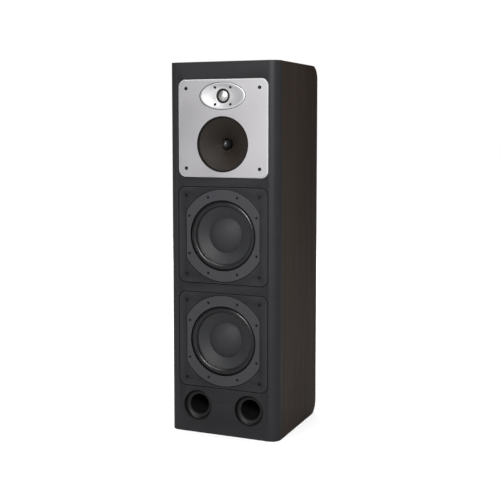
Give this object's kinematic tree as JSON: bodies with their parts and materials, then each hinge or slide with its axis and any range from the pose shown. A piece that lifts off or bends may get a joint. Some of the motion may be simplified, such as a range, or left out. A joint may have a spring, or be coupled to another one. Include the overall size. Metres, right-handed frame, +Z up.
{
  "type": "floorstanding loudspeaker",
  "caption": "Three-way floorstanding loudspeaker with a silver head module, flush bass modules, front ports and a dark veneered cabinet.",
  "frame": {"origin": "middle of the cabinet's underside, on the floor", "axes": "+Z up, the front baffle faces -Y, +X to the right of someone facing the baffle"},
  "size_m": [0.32, 0.312, 1.015],
  "materials": {
    "veneer": "dark brown open-grain veneer, satin lacquer",
    "black_board": "black-painted board",
    "black_lacquer": "satin black lacquer on board",
    "brass": "turned",
    "silver_plate": "bead-blasted, silver anodised",
    "black_screw": "black oxide",
    "dome_metal": "pressed foil, bright",
    "rubber": "smooth",
    "foam": "open-cell foam and polyester wadding",
    "coil_copper": "enamelled copper wire",
    "plated_steel": "zinc plated",
    "ferrite": "sintered",
    "cast_frame": "cast, dark grey paint",
    "woven_cone": "woven fibre in resin",
    "spider_cloth": "resin-dipped cloth",
    "phase_plug": "polished black",
    "bass_panel_paint": "satin black",
    "bass_cone": "dark grey coated pulp",
    "moulded_black": "moulded",
    "plated_brass": "gold-coloured plating",
    "red_knob": "moulded red",
    "black_knob": "moulded black",
    "circuit_board": "laminate",
    "cable_sleeve": "PVC sleeve"
  },
  "bodies": {
    "cabinet": {"binding_posts": "plated_brass", "bottom_panel": "black_board", "crossover_board": "circuit_board", "crossover_capacitors": "moulded_black", "crossover_inductors": "coil_copper", "divider_shelf": "black_board", "front_baffle": "black_lacquer", "head_plate": "silver_plate", "head_unit_screws": "black_screw", "internal_wiring": "cable_sleeve", "lower_basket": "cast_frame", "lower_bass_panel": "bass_panel_paint", "lower_spider": "spider_cloth", "lower_surround": "rubber", "midrange_basket": "cast_frame", "midrange_edge": "foam", "midrange_magnet": "ferrite", "midrange_phase_plug": "phase_plug", "midrange_spider": "spider_cloth", "midrange_top_plate": "plated_steel", "midrange_yoke": "plated_steel", "module_screws": "black_screw", "port_tube_left": "moulded_black", "port_tube_right": "moulded_black", "rear_panel": "veneer", "side_panel_left": "veneer", "side_panel_right": "veneer", "spike_inserts": "brass", "terminal_screws": "black_screw", "terminal_tray": "moulded_black", "top_panel": "veneer", "tweeter_faceplate": "silver_plate", "tweeter_magnet": "ferrite", "tweeter_surround": "rubber", "tweeter_top_plate": "plated_steel", "tweeter_yoke": "plated_steel", "upper_basket": "cast_frame", "upper_bass_panel": "bass_panel_paint", "upper_spider": "spider_cloth", "upper_surround": "rubber", "wadding": "foam", "window_brace": "black_board", "woofer_magnets": "ferrite", "woofer_screws": "black_screw", "woofer_top_plates": "plated_steel", "woofer_yokes": "plated_steel"},
    "upper_cone_assembly": {"upper_cone": "bass_cone", "upper_dust_cap": "bass_cone", "upper_voice_coil": "coil_copper"},
    "lower_cone_assembly": {"lower_cone": "bass_cone", "lower_dust_cap": "bass_cone", "lower_voice_coil": "coil_copper"},
    "midrange_cone_assembly": {"midrange_cone": "woven_cone", "midrange_voice_coil": "coil_copper"},
    "tweeter_dome_assembly": {"tweeter_dome": "dome_metal", "tweeter_voice_coil": "coil_copper"},
    "positive_clamp_washer": {"positive_washer": "plated_brass"},
    "positive_clamp_knob": {"positive_knob": "red_knob"},
    "negative_clamp_washer": {"negative_washer": "plated_brass"},
    "negative_clamp_knob": {"negative_knob": "black_knob"}
  },
  "joints": [
    {"name": "upper_cone_travel", "type": "slide", "parent": "cabinet", "child": "upper_cone_assembly", "axis": [0, -1, 0], "range_m": [-0.006, 0.006], "stiffness_N_per_m": 1200, "deforming": ["upper_surround", "upper_spider"]},
    {"name": "lower_cone_travel", "type": "slide", "parent": "cabinet", "child": "lower_cone_assembly", "axis": [0, -1, 0], "range_m": [-0.006, 0.006], "stiffness_N_per_m": 1200, "deforming": ["lower_surround", "lower_spider"]},
    {"name": "midrange_cone_travel", "type": "slide", "parent": "cabinet", "child": "midrange_cone_assembly", "axis": [0, -1, 0], "range_m": [-0.0015, 0.0015], "stiffness_N_per_m": 1000, "deforming": ["midrange_edge", "midrange_spider"]},
    {"name": "tweeter_dome_travel", "type": "slide", "parent": "cabinet", "child": "tweeter_dome_assembly", "axis": [0, -1, 0], "range_m": [-0.0005, 0.0005], "stiffness_N_per_m": 100, "deforming": ["tweeter_surround"]},
    {"name": "positive_knob_advance", "type": "slide", "parent": "cabinet", "child": "positive_clamp_washer", "axis": [0, 1, 0], "range_m": [0, 0.004]},
    {"name": "positive_knob_turn", "type": "hinge", "parent": "positive_clamp_washer", "child": "positive_clamp_knob", "pos_m": [0.019, 0.14, 0.19], "axis": [0, 1, 0], "range_deg": [0, 1440.5]},
    {"name": "negative_knob_advance", "type": "slide", "parent": "cabinet", "child": "negative_clamp_washer", "axis": [0, 1, 0], "range_m": [0, 0.004]},
    {"name": "negative_knob_turn", "type": "hinge", "parent": "negative_clamp_washer", "child": "negative_clamp_knob", "pos_m": [-0.019, 0.14, 0.19], "axis": [0, 1, 0], "range_deg": [0, 1440.5]}
  ],
  "couplings": [
    {"joint": "positive_knob_turn", "follows": "positive_knob_advance", "rad_per_m": 6283.2},
    {"joint": "negative_knob_turn", "follows": "negative_knob_advance", "rad_per_m": 6283.2}
  ]
}
